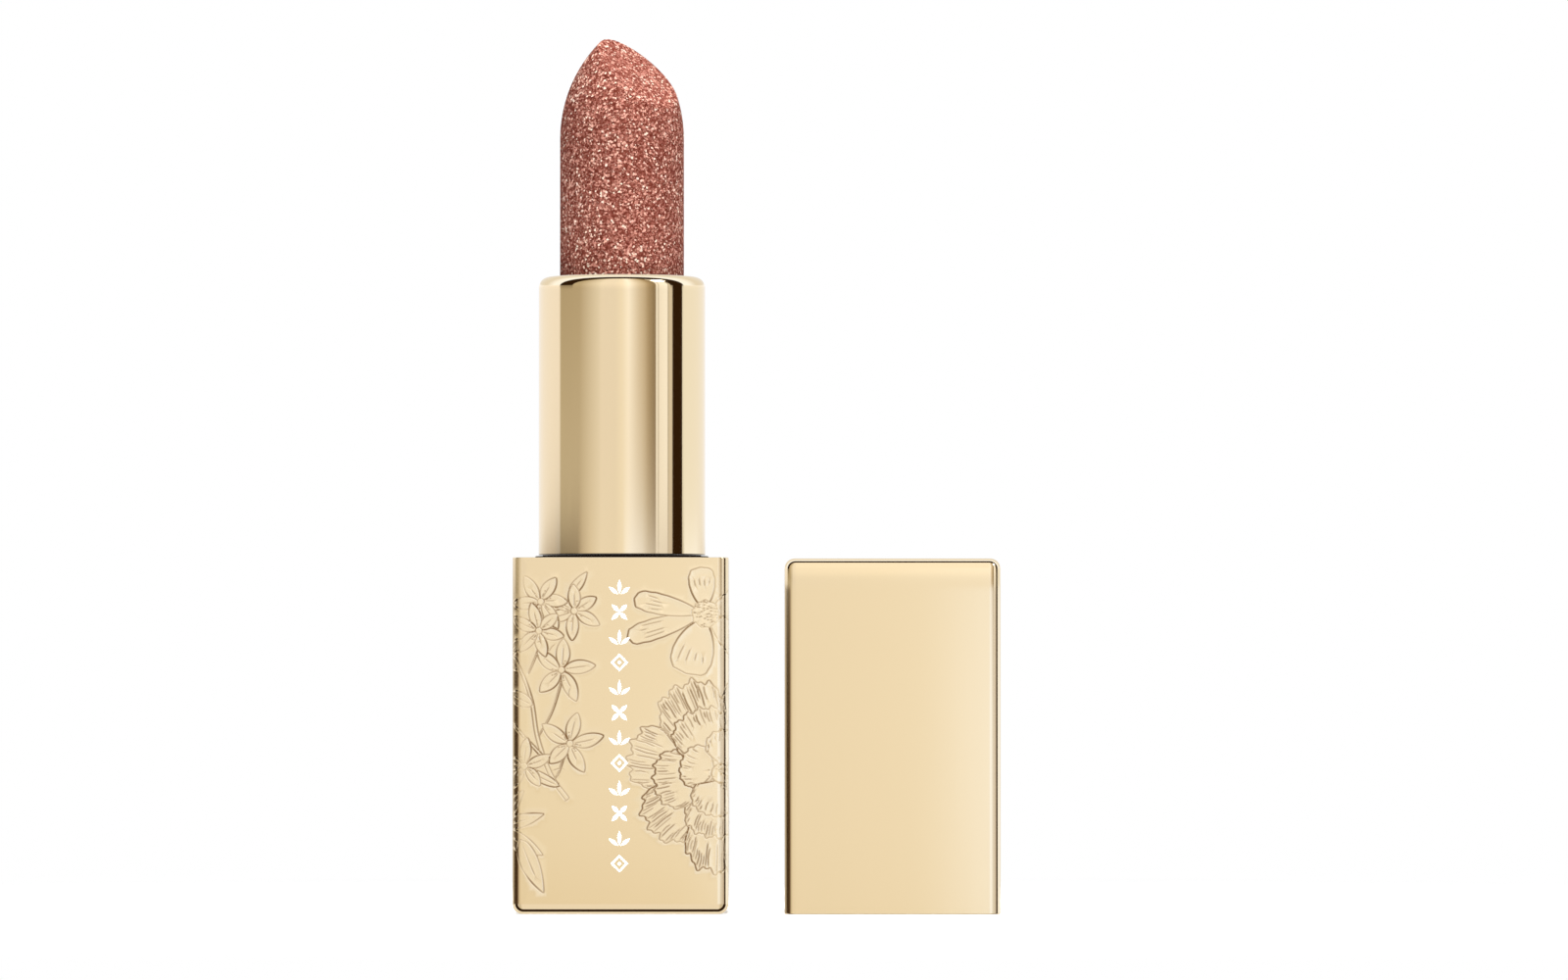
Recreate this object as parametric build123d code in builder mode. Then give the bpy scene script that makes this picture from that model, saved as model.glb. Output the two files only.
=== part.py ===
from build123d import *

import os
from math import atan2, cos, pi, radians, sin, sqrt

# Twist-up lipstick case: a square base, a round tube that turns on it, a cup that climbs inside
# the tube with the lipstick in it, and a square pull-off cap that stands beside the case.
#
# Millimetres. The origin is the centre of the base's underside, +Z runs up the case's axis, the
# decorated front faces -Y, and the cap stands at +X. The lipstick is wound all the way out.

# Square base and cap
body_width = 20.9
base_height = 34.5
cap_height = 34.4
corner_radius = 1.1  # the upright edges
end_radius = 1.0  # the edges round each closed end
lip_radius = 0.1  # the edges round each open end
shell_wall = 0.6
cap_x = 26.3  # from the case's axis to the cap's

# Round tube
tube_radius = 8.15
tube_wall = 0.4
tube_top = 62.0
tube_foot_gap = 0.3  # between the base's deck and the tube's foot
shoulder_radius = 1.05  # the rounded edge at the tube's top

# Lipstick bullet
bullet_radius = 6.05
nose_start = 75.5  # where the straight sides end
nose_radius = 13.5  # of the arc that the sides follow towards the tip
facet_slope = 43.0  # of the slanted face, from level
facet_turn = -40.0  # the way the slanted face looks, from +X towards +Y
facet_height = 83.75  # where the slanted face's plane crosses the axis

# Gaps between pieces
fixed_gap = 0.02  # pieces pressed or glued together
running_gap = 0.08  # pieces that turn or slide on each other

# Twist mechanism
travel = 25.5
turns = 1.5
cup_radius = 6.55
cup_height = 11.6
cup_floor = 0.8
cup_top = 61.6
vent_radius = 0.8
fork_wall = 0.43
lug_radius = 0.85
lug_reach = 7.4  # from the axis to a lug's end
groove_reach = 7.5  # from the axis to the bottom of a groove
groove_play = 0.12  # beside a lug in its groove or slot
groove_overrun = 12.0  # degrees that a groove runs on past a lug's stop
cam_foot = 24.2
cam_height = 34.2

# Fork's stem, foot and hooks
stem_width = 9.0
stem_height = 4.4
stem_corner = 0.6
foot_radius = 7.6
foot_thickness = 1.6
hook_radius = 7.45
hook_height = 0.8

# Inside the base
weight_radius = 8.22
base_weight_height = 9.1
weight_chamfer = 0.4
liner_core_radius = 6.5
liner_core_top = 16.4
corner_core_radius = 1.4
corner_core_place = 7.6
deck_thickness = 2.5
label_width = 15.0
label_thickness = 0.12

# Rings
seal_ring_radius = 8.6
seal_ring_seat = 0.5  # how deep the ring sits in the deck
seal_ring_stand = 0.22  # how far it stands above the deck
seal_ring_slope = 0.2  # of its slanted outer edge
drag_ring_radius = 8.45
drag_ring_height = 1.0
drag_ring_foot = 29.5
ring_round = 0.15

# Inside the cap
cap_bore_radius = 8.25
cap_bore_depth = 28.5
cap_bore_chamfer = 0.3
cap_roof = 1.2
cap_weight_height = 3.0
cap_liner_setback = 0.18

# Worked out from the above
inside_width = body_width - 2 * shell_wall
inside_corner = corner_radius - shell_wall
liner_width = inside_width - 2 * fixed_gap
weight_pocket_radius = weight_radius + running_gap
fork_bore = cup_radius + running_gap
fork_radius = fork_bore + fork_wall
cam_bore = fork_radius + running_gap
cam_radius = tube_radius - tube_wall - fixed_gap
cam_top = cam_foot + cam_height
liner_bore = cam_radius + running_gap
cup_foot = cup_top - cup_height
lug_z = cup_foot + cup_floor + lug_radius
lug_low_z = lug_z - travel
pitch = travel / turns
fork_floor = cam_foot - running_gap
foot_z = fork_floor - foot_thickness
socket_z = foot_z - stem_height
tube_foot = base_height + tube_foot_gap


# --- Base: held in the hand and twisted ---

with BuildPart() as base_shell:
    with BuildSketch():
        RectangleRounded(body_width, body_width, corner_radius)
    extrude(amount=base_height)
    fillet(base_shell.faces().sort_by(Axis.Z)[0].edges(), end_radius)
    fillet(base_shell.faces().sort_by(Axis.Z)[-1].edges(), lip_radius)
    with BuildSketch(Plane.XY.offset(shell_wall)):
        RectangleRounded(inside_width, inside_width, inside_corner)
    extrude(amount=base_height, mode=Mode.SUBTRACT)
    # The recess that the shade label is stuck in.
    with BuildSketch():
        RectangleRounded(label_width, label_width, corner_radius)
    extrude(amount=label_thickness, mode=Mode.SUBTRACT)

with BuildPart() as shade_label:
    with BuildSketch():
        label_cut_width = label_width - 2 * running_gap
        RectangleRounded(label_cut_width, label_cut_width, corner_radius)
    extrude(amount=label_thickness)

with BuildPart() as base_liner:
    liner_foot = shell_wall + fixed_gap
    with BuildSketch(Plane.XY.offset(liner_foot)):
        RectangleRounded(liner_width, liner_width, inside_corner)
    extrude(amount=base_height - liner_foot)
    # The bore that the cam sleeve turns in, and the seats of its two rings.
    with BuildSketch(Plane.XY.offset(foot_z)):
        Circle(liner_bore)
    extrude(amount=base_height, mode=Mode.SUBTRACT)
    with BuildSketch(Plane.XY.offset(base_height - seal_ring_seat)):
        Circle(seal_ring_radius + fixed_gap)
    extrude(amount=base_height, mode=Mode.SUBTRACT)
    with BuildSketch(Plane.XY.offset(drag_ring_foot)):
        Circle(drag_ring_radius + fixed_gap)
    extrude(amount=drag_ring_height + 2 * fixed_gap, mode=Mode.SUBTRACT)
    # The square socket that keeps the fork from turning.
    with BuildSketch(Plane.XY.offset(socket_z)):
        Rectangle(stem_width + 2 * fixed_gap, stem_width + 2 * fixed_gap)
    extrude(amount=stem_height, mode=Mode.SUBTRACT)
    # The weight's pocket, the core above it, and the cores that keep the corners thin.
    with BuildSketch(Plane.XY.offset(shell_wall)):
        Circle(weight_pocket_radius)
    extrude(amount=base_weight_height + 2 * running_gap, mode=Mode.SUBTRACT)
    with BuildSketch(Plane.XY.offset(shell_wall)):
        Circle(liner_core_radius)
    extrude(amount=liner_core_top - shell_wall, mode=Mode.SUBTRACT)
    with BuildSketch(Plane.XY.offset(shell_wall)):
        with GridLocations(2 * corner_core_place, 2 * corner_core_place, 2, 2):
            Circle(corner_core_radius)
    extrude(amount=base_height - deck_thickness - shell_wall, mode=Mode.SUBTRACT)

with BuildPart() as base_weight:
    with BuildSketch(Plane.XY.offset(shell_wall + running_gap)):
        Circle(weight_radius)
    extrude(amount=base_weight_height)
    chamfer(base_weight.edges().filter_by(GeomType.CIRCLE), weight_chamfer)

# The ring at the tube's foot, which the cap's liner lands on when the cap is on.
with BuildPart() as seal_ring:
    with BuildSketch(Plane.XY.offset(base_height - seal_ring_seat + fixed_gap)):
        Circle(seal_ring_radius)
        Circle(liner_bore, mode=Mode.SUBTRACT)
    extrude(amount=seal_ring_seat - fixed_gap + seal_ring_stand)
    ring_top_edges = seal_ring.faces().sort_by(Axis.Z)[-1].edges().sort_by(SortBy.RADIUS)
    chamfer(ring_top_edges[-1], seal_ring_slope)
    fillet(ring_top_edges[0], ring_round)

# The ring that gives the twist its drag, so that the lipstick stays where it is wound to.
with BuildPart() as drag_ring:
    with BuildSketch(Plane.XY.offset(drag_ring_foot + fixed_gap)):
        Circle(drag_ring_radius)
        Circle(cam_radius + running_gap / 2, mode=Mode.SUBTRACT)
    extrude(amount=drag_ring_height)
    fillet(drag_ring.edges().filter_by(GeomType.CIRCLE), ring_round)

with BuildPart() as fork:
    with BuildSketch(Plane.XY.offset(socket_z + fixed_gap)):
        RectangleRounded(stem_width, stem_width, stem_corner)
    extrude(amount=stem_height)
    with BuildSketch(Plane.XY.offset(foot_z + fixed_gap)):
        Circle(foot_radius)
    extrude(amount=foot_thickness - fixed_gap)
    hook_z = cam_top + running_gap
    with BuildSketch(Plane.XY.offset(fork_floor)):
        Circle(fork_radius)
    extrude(amount=hook_z - fork_floor)
    # The hooks that hold the cam sleeve down, tapered so that the sleeve presses on over them.
    with BuildSketch(Plane.XY.offset(hook_z)):
        Circle(hook_radius)
    extrude(amount=hook_height)
    chamfer(fork.faces().sort_by(Axis.Z)[-1].edges(), hook_radius - fork_radius)
    with BuildSketch(Plane.XY.offset(fork_floor)):
        Circle(fork_bore)
    extrude(amount=tube_top, mode=Mode.SUBTRACT)
    # Two slots for the cup's lugs, open at the top, which leave two prongs.
    slot_foot = lug_low_z - lug_radius - groove_play
    with BuildSketch(Plane.YZ):
        with Locations((0, (slot_foot + tube_top) / 2)):
            Rectangle(2 * (lug_radius + groove_play), tube_top - slot_foot)
    extrude(amount=tube_radius, both=True, mode=Mode.SUBTRACT)

# --- Tube: turns on the base ---

with BuildPart() as outer_tube:
    with BuildSketch(Plane.XY.offset(tube_foot)):
        Circle(tube_radius)
    extrude(amount=tube_top - tube_foot)
    fillet(outer_tube.faces().sort_by(Axis.Z)[-1].edges(), shoulder_radius)
    fillet(outer_tube.faces().sort_by(Axis.Z)[0].edges(), lip_radius)
    # The inside follows the shoulder with a slanted face.
    with BuildSketch(Plane.XY.offset(tube_foot)):
        Circle(tube_radius - tube_wall)
    extrude(amount=tube_top - shoulder_radius - tube_foot, mode=Mode.SUBTRACT)
    with BuildSketch(Plane.XY.offset(tube_top - shoulder_radius)):
        Circle(tube_radius - tube_wall)
    extrude(amount=shoulder_radius - tube_wall, taper=45, mode=Mode.SUBTRACT)
    with BuildSketch(Plane.XY.offset(tube_foot)):
        Circle(cup_radius + 2 * running_gap)
    extrude(amount=tube_top, mode=Mode.SUBTRACT)
    top_edges = outer_tube.edges().filter_by(GeomType.CIRCLE).group_by(Axis.Z)[-1]
    fillet(top_edges.sort_by(SortBy.RADIUS)[0], lip_radius)

# The shape that each groove removes from the cam sleeve, standing on the XY plane.
with BuildPart() as groove_cut:
    cut_inside = fork_bore
    cut_middle = (cut_inside + groove_reach) / 2
    groove_slope = atan2(pitch, 2 * pi * groove_reach)
    overrun_rise = pitch * groove_overrun / 360
    with BuildLine():
        Helix(pitch, travel + 2 * overrun_rise, cut_middle)
    with BuildSketch(Plane.XZ):
        with Locations((cut_middle, 0)):
            Rectangle(groove_reach - cut_inside, 2 * (lug_radius + groove_play) / cos(groove_slope))
    sweep(is_frenet=True)

with BuildPart() as cam_sleeve:
    with BuildSketch(Plane.XY.offset(cam_foot)):
        Circle(cam_radius)
        Circle(cam_bore, mode=Mode.SUBTRACT)
    extrude(amount=cam_height)
    with Locations((0, 0, lug_low_z - overrun_rise)):
        with PolarLocations(0, 2, start_angle=-360 * turns - groove_overrun):
            add(groove_cut.part, mode=Mode.SUBTRACT)

# --- Cup: climbs inside the fork with the lipstick ---

with BuildPart() as cup:
    with BuildSketch(Plane.XY.offset(cup_foot)):
        Circle(cup_radius)
    extrude(amount=cup_height)
    with BuildSketch(Plane.YZ):
        with Locations((0, lug_z)):
            Circle(lug_radius)
    extrude(amount=lug_reach, both=True)
    with BuildSketch(Plane.XY.offset(cup_foot + cup_floor)):
        Circle(bullet_radius + fixed_gap)
    extrude(amount=cup_height, mode=Mode.SUBTRACT)
    # The vent that lets air out from under the lipstick.
    with BuildSketch(Plane.XY.offset(cup_foot)):
        Circle(vent_radius)
    extrude(amount=cup_floor, mode=Mode.SUBTRACT)

with BuildPart() as bullet:
    root_z = cup_foot + cup_floor + fixed_gap
    nose_top = nose_start + sqrt(nose_radius**2 - (nose_radius - bullet_radius) ** 2)
    with BuildSketch(Plane.XZ):
        with BuildLine():
            Polyline((0, nose_top), (0, root_z), (bullet_radius, root_z), (bullet_radius, nose_start))
            RadiusArc((bullet_radius, nose_start), (0, nose_top), -nose_radius)
        make_face()
    revolve()
    lean = sin(radians(facet_slope))
    facet_normal = (
        lean * cos(radians(facet_turn)),
        lean * sin(radians(facet_turn)),
        cos(radians(facet_slope)),
    )
    split(bisect_by=Plane((0, 0, facet_height), z_dir=facet_normal), keep=Keep.BOTTOM)

# --- Cap: pulls off, and stands on its mouth beside the case ---

with BuildPart() as cap_shell:
    with BuildSketch(Plane.XY):
        with Locations((cap_x, 0)):
            RectangleRounded(body_width, body_width, corner_radius)
    extrude(amount=cap_height)
    fillet(cap_shell.faces().sort_by(Axis.Z)[-1].edges(), end_radius)
    fillet(cap_shell.faces().sort_by(Axis.Z)[0].edges(), lip_radius)
    with BuildSketch(Plane.XY):
        with Locations((cap_x, 0)):
            RectangleRounded(inside_width, inside_width, inside_corner)
    extrude(amount=cap_height - shell_wall, mode=Mode.SUBTRACT)

with BuildPart() as cap_liner:
    with BuildSketch(Plane.XY.offset(cap_liner_setback)):
        with Locations((cap_x, 0)):
            RectangleRounded(liner_width, liner_width, inside_corner)
    extrude(amount=cap_height - shell_wall - fixed_gap - cap_liner_setback)
    with BuildSketch(Plane.XY.offset(cap_liner_setback)):
        with Locations((cap_x, 0)):
            Circle(cap_bore_radius)
    extrude(amount=cap_bore_depth - cap_liner_setback, mode=Mode.SUBTRACT)
    chamfer(cap_liner.faces().sort_by(Axis.Z)[0].inner_wires().edges(), cap_bore_chamfer)
    # The weight's pocket above the bore, and the cores that keep the corners thin.
    weight_z = cap_bore_depth + cap_roof
    with BuildSketch(Plane.XY.offset(weight_z)):
        with Locations((cap_x, 0)):
            Circle(weight_pocket_radius)
    extrude(amount=cap_height, mode=Mode.SUBTRACT)
    with BuildSketch(Plane.XY.offset(deck_thickness)):
        with Locations((cap_x, 0)):
            with GridLocations(2 * corner_core_place, 2 * corner_core_place, 2, 2):
                Circle(corner_core_radius)
    extrude(amount=cap_height, mode=Mode.SUBTRACT)

with BuildPart() as cap_weight:
    with BuildSketch(Plane.XY.offset(weight_z + fixed_gap)):
        with Locations((cap_x, 0)):
            Circle(weight_radius)
    extrude(amount=cap_weight_height)
    chamfer(cap_weight.edges().filter_by(GeomType.CIRCLE), weight_chamfer)

pieces = {
    "base_shell": base_shell,
    "shade_label": shade_label,
    "base_liner": base_liner,
    "base_weight": base_weight,
    "seal_ring": seal_ring,
    "drag_ring": drag_ring,
    "fork": fork,
    "outer_tube": outer_tube,
    "cam_sleeve": cam_sleeve,
    "cup": cup,
    "bullet": bullet,
    "cap_shell": cap_shell,
    "cap_liner": cap_liner,
    "cap_weight": cap_weight,
}
os.makedirs("parts", exist_ok=True)
for name, piece in pieces.items():
    piece.part.label = name
    export_step(piece.part, f"parts/{name}.step")
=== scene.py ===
import math
import random

import bpy
import numpy as np
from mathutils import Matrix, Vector, kdtree
from mathutils.geometry import delaunay_2d_cdt

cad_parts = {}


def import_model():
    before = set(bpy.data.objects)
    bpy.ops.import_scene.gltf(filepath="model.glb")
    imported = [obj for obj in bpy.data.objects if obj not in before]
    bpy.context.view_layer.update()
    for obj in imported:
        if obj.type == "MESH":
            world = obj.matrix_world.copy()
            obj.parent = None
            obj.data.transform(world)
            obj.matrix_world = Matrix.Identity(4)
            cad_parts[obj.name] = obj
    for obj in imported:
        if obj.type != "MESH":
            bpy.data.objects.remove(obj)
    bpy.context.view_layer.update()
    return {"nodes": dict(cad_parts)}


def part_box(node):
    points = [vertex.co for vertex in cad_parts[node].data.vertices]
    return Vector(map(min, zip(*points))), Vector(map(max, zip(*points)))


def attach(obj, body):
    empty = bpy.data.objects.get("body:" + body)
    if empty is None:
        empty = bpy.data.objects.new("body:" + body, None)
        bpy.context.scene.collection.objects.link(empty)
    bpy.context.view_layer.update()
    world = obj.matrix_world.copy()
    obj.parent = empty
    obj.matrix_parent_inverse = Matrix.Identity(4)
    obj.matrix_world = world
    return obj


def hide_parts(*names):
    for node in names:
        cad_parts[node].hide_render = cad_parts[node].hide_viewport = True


# A square gold lipstick case with an engraved base, its round tube with the glitter lipstick wound
# out, and its cap standing beside it. Lengths below are in millimetres and become metres in new_object().
MM = 0.001

# Shells
CORNER = 1.1  # the upright edges
END_ROUND = 1.0  # the edges round a closed end
LIP_ROUND = 0.1  # the edges round an open end
WALL = 0.6
LABEL_HALF = 7.5  # the square recess for the label
LABEL_DEPTH = 0.12
CAP_CROWN = 3.0  # degrees that the cap's sides lean back just under its closed end
CAP_CROWN_REACH = 2.4  # how far below that end the leaning starts
BASE_CROWN = 0.35  # degrees that the base's sides bow, from bottom to top
SIDE_CROWN = 1.6  # degrees that each side bows, from its middle to its upright edges

# Engraving
FLANKS = (0.0, 0.062, 0.14)  # away from a line's middle, where the skin needs points
FLANK_GAPS = (0.045, 0.05, 0.07)  # least distances between such points
EDGE_FADE = 0.92  # share of a side's half width past which the engraving fades
GROOVE_DEPTH = 0.036
GROOVE_WIDTH = 0.066
BURR_HEIGHT = 0.003
BURR_PLACE = 0.105  # away from a line's middle
BURR_WIDTH = 0.045
LEAST_RIM_HIGHLIGHT = 0.55  # least share of a line's rim that takes the painted highlight
RAISED = 0.02  # how far petals and leaves stand up
FRONT_STEP = 0.15  # between points along a line
OTHER_STEP = 0.21
PLAIN_STEP = 0.55  # between points where nothing is engraved

# Studio
GOLD = (0.90, 0.73, 0.475)
HORIZON_LOW = 0.8  # degrees up at which the low panels end
HORIZON_HIGH = 2.3  # and the high ones begin
EDGE_HIGH, EDGE_LOW = 0.82, 0.74  # below these degrees the upright edges' own panels stand
BUMP = 0.00002  # metres that a grain stands up


# --- Small helpers ---


def new_object(name, vertices, faces, body=None, smooth=True):
    mesh = bpy.data.meshes.new(name)
    mesh.from_pydata([tuple(v) for v in np.asarray(vertices) * MM], [], faces)
    mesh.validate()
    mesh.polygons.foreach_set("use_smooth", [smooth] * len(mesh.polygons))
    made = bpy.data.objects.new(name, mesh)
    bpy.context.scene.collection.objects.link(made)
    if body:
        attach(made, body)
    return made


def strip(first, second, count):
    """Faces between two rings of points, given by each ring's first index."""
    return [
        (first + i, first + (i + 1) % count, second + (i + 1) % count, second + i)
        for i in range(count)
    ]


def spline(points, step):
    """A smooth curve through the points, with a point about every step."""
    points = np.asarray(points, float)
    padded = np.vstack([2 * points[0] - points[1], points, 2 * points[-1] - points[-2]])
    parts = []
    for i in range(1, len(padded) - 2):
        a, b, c, d = padded[i - 1 : i + 3]
        count = max(2, int(np.linalg.norm(c - b) / step))
        t = np.arange(count)[:, None] / count
        parts.append(
            0.5 * (2 * b + (c - a) * t + (2 * a - 5 * b + 4 * c - d) * t**2
                   + (3 * b - a - 3 * c + d) * t**3)
        )
    parts.append(points[-1:])
    return np.vstack(parts)


def resample(points, step):
    """The same line with a point every step."""
    lengths = np.concatenate([[0], np.cumsum(np.linalg.norm(np.diff(points, axis=0), axis=1))])
    count = max(3, int(lengths[-1] / step) + 1)
    at = np.linspace(0, lengths[-1], count)
    return np.column_stack([np.interp(at, lengths, points[:, 0]), np.interp(at, lengths, points[:, 1])])


def inside(points, outline):
    """Which points lie inside a closed outline."""
    result = np.zeros(len(points), bool)
    low, high = outline.min(0), outline.max(0)
    near = np.all((points >= low) & (points <= high), axis=1)
    chosen = points[near]
    found = np.zeros(len(chosen), bool)
    x, y = chosen[:, 0], chosen[:, 1]
    for (ax, ay), (bx, by) in zip(outline, np.roll(outline, -1, axis=0)):
        if ay == by:
            continue
        crosses = ((ay > y) != (by > y)) & (x < (bx - ax) * (y - ay) / (by - ay) + ax)
        found ^= crosses
    result[near] = found
    return result


def turned(points, angle, centre=(0, 0)):
    """Points turned by an angle in degrees about the origin, then moved to centre."""
    a = math.radians(angle)
    points = np.asarray(points, float)
    return np.column_stack(
        [
            centre[0] + points[:, 0] * math.cos(a) - points[:, 1] * math.sin(a),
            centre[1] + points[:, 0] * math.sin(a) + points[:, 1] * math.cos(a),
        ]
    )


def polar(centre, reach, angles):
    """Points at those distances from a centre, at angles in radians."""
    return np.column_stack([centre[0] + reach * np.cos(angles), centre[1] + reach * np.sin(angles)])


def hoop(radius, z, angles):
    """A level ring of points round the z axis."""
    return np.column_stack([polar((0, 0), radius, angles), np.full(len(angles), z)])


# --- Engraved drawing: u runs round the base from the front's middle, z up ---


class Drawing:
    """Lines and raised areas, drawn from back to front: a new area hides what lies under it."""

    def __init__(self, seed):
        self.lines = []
        self.areas = []
        self.random = random.Random(seed)

    def cover(self, outline):
        """Cuts away the parts of earlier lines that lie inside the outline."""
        low, high = outline.min(0), outline.max(0)
        kept = []
        for points, weight in self.lines:
            apart = np.any(points.min(0) > high) or np.any(points.max(0) < low)
            hidden = None if apart else inside(points, outline)
            if apart or not hidden.any():
                kept.append((points, weight))
                continue
            cuts = np.flatnonzero(np.diff(hidden.astype(int))) + 1
            for part in np.split(np.arange(len(points)), cuts):
                if not hidden[part[0]] and len(part) > 2:
                    kept.append((points[part], weight[part]))
        self.lines = kept

    def line(self, points, weight, taper=0.6):
        points = resample(np.asarray(points, float), 0.1)
        t = np.linspace(0, 1, len(points))
        swell = np.clip(np.sin(math.pi * t) * 3, 0.0, 1.0) ** taper
        self.lines.append((points, weight * (0.35 + 0.65 * swell)))

    def area(self, outline, weight):
        outline = np.asarray(outline, float)
        self.cover(outline)
        self.areas.append(outline)
        closed = resample(np.vstack([outline, outline[:1]]), 0.1)
        t = np.linspace(0, 2 * math.pi, len(closed))
        phase = self.random.uniform(0, 6.28)
        self.lines.append((closed, weight * (0.82 + 0.28 * np.sin(t + phase))))

    def petal_shape(self, length, width, bend, root, tip, ruffle=0.0):
        """A petal or leaf that points along +x from the origin: its outline and its middle line."""
        t = np.linspace(0, 1, 22)
        peak = root / (root + tip)
        most = peak**root * (1 - peak) ** tip
        half = width / 2 * t**root * (1 - t) ** tip / most
        wave = ruffle * np.sin(t * 34 + self.random.uniform(0, 6)) * t**3
        middle = bend * t**2
        upper = np.column_stack([length * t, middle + half + wave])
        lower = np.column_stack([length * t, middle - half + wave])
        return np.vstack([upper, lower[-2:0:-1]]), np.column_stack([length * t, middle])

    def petal(self, at, angle, length, width, start, bend, vein=True, **shape):
        outline, middle = self.petal_shape(length, width, bend, **shape)
        offset = np.array([start, 0.0])
        self.area(turned(outline + offset, angle, at), 0.95)
        if vein:
            reach = self.random.uniform(0.5, 0.8)
            self.line(turned(middle[2 : int(22 * reach)] + offset, angle, at), 0.55)

    def star_flower(self, u, z, radius, petals, turn):
        order = list(range(petals))
        self.random.shuffle(order)
        for k in order:
            angle = turn + 360 / petals * k + self.random.uniform(-7, 7)
            length = radius * self.random.uniform(0.88, 1.1)
            bend = self.random.uniform(-0.16, 0.16) * radius
            self.petal((u, z), angle, length, radius * 0.46, 0.2, bend, root=0.75, tip=0.85)
        ring = np.linspace(0, 2 * math.pi, 13)[:-1]
        self.area(polar((u, z), 0.34, ring), 0.7)
        for k in range(petals):
            angle = turn + 360 / petals * (k + self.random.uniform(-0.3, 0.3))
            reach = self.random.uniform(0.7, 1.0)
            self.line(turned([(0.42, 0), (reach * 0.7, 0.06), (reach, 0)], angle, (u, z)), 0.7)
            self.dot(*turned([(reach + 0.14, 0)], angle, (u, z))[0])

    def dot(self, u, z, size=0.06):
        self.line([(u - size, z), (u, z + size / 3), (u + size, z)], 0.85, 0.1)

    def stipple(self, u, z, radius, count, largest=None):
        """Dots scattered over a round patch, all alike or of up to the largest size."""
        for _ in range(count):
            angle = self.random.uniform(0, 360)
            reach = radius * math.sqrt(self.random.random())
            size = self.random.uniform(0.05, largest) if largest else 0.06
            self.dot(*turned([(reach, 0)], angle, (u, z))[0], size)

    def stem(self, points, width):
        """A stalk drawn as a thin raised band with two edges."""
        path = resample(spline(points, 0.2), 0.25)
        along = np.gradient(path, axis=0)
        across = np.column_stack([-along[:, 1], along[:, 0]])
        across /= np.linalg.norm(across, axis=1)[:, None]
        half = width / 2 * np.linspace(1.0, 0.6, len(path))[:, None]
        self.area(np.vstack([path + across * half, (path - across * half)[::-1]]), 0.9)

    def leaf(self, u, z, angle, length, width, bend):
        self.petal((u, z), angle, length, width, 0.0, bend, root=0.6, tip=0.95)

    def ruffled_petal(self, centre, angle, spread, inner, outer, hatch):
        """A broad petal with a frilled edge and short hatching inside the frill."""
        count = max(24, int(math.radians(spread) * outer / 0.14))
        a = np.linspace(-0.5, 0.5, count)
        shape = 1 - 0.5 * np.abs(2 * a) ** 3.2
        phase = self.random.uniform(0, 6.28)
        frill = 0.020 * np.sin(a * spread * 0.55 + phase)
        frill += 0.013 * np.sin(a * spread * 1.27 + 2 * phase)
        reach = inner + (outer - inner) * shape * (1 + frill * 1.6)
        around = np.radians(angle + a * spread)
        root = np.radians(angle + a[::-6] * spread * 0.5)
        self.area(np.vstack([polar(centre, reach, around), polar(centre, inner, root)]), 1.0)
        for k in range(2, count - 2, 2):
            if self.random.random() > hatch:
                continue
            length = (outer - inner) * self.random.uniform(0.12, 0.36) * (1 - abs(a[k]))
            gap = self.random.uniform(0.16, 0.4)
            start, end = reach[k] - gap, reach[k] - gap - length
            lean = around[k] - math.radians(a[k] * spread * 0.35)
            tip = polar(centre, start, around[k])[0]
            tail = tip - (start - end) * np.array([math.cos(lean), math.sin(lean)])
            bow = np.array([-math.sin(lean), math.cos(lean)]) * self.random.uniform(-0.1, 0.1)
            self.line([tip, (tip + tail) / 2 + bow, tail], self.random.uniform(0.5, 0.85))

    def ruffled_bloom(self, u, z, radius, turn):
        layers = [(1.0, 7, 66), (0.74, 5, 84), (0.46, 4, 100)]
        for layer, (share, petals, spread) in enumerate(layers):
            order = list(range(petals))
            self.random.shuffle(order)
            for k in order:
                angle = turn + layer * 31 + 360 / petals * k
                size = radius * share * self.random.uniform(0.92, 1.06)
                self.ruffled_petal((u, z), angle, spread, radius * 0.1, size, 0.8 - 0.1 * layer)
        self.stipple(u, z, radius * 0.17, 26)

    def open_flower(self, u, z, radius, petals):
        """A flower seen from the side, with petals as (angle, length, width) and a stippled heart."""
        for angle, length, width in petals:
            self.petal((u, z), angle, length, width, radius * 0.12, self.random.uniform(-0.2, 0.2),
                       vein=False, root=0.62, tip=0.3, ruffle=0.07)
            for k in range(4):
                side = (k - 1.5) * width * 0.2
                start = length * self.random.uniform(0.82, 0.92)
                end = start - length * self.random.uniform(0.1, 0.28)
                self.line(turned([(start, side), ((start + end) / 2, side * 0.95), (end, side * 0.85)],
                                 angle, (u, z)), 0.55)
        heart = radius * 0.24
        ring = np.linspace(0, 2 * math.pi, 25)[:-1]
        rough = heart * (1 + 0.08 * np.sin(ring * 9))
        self.area(polar((u, z), rough, ring), 0.5)
        self.stipple(u, z, heart, 46, 0.1)


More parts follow.
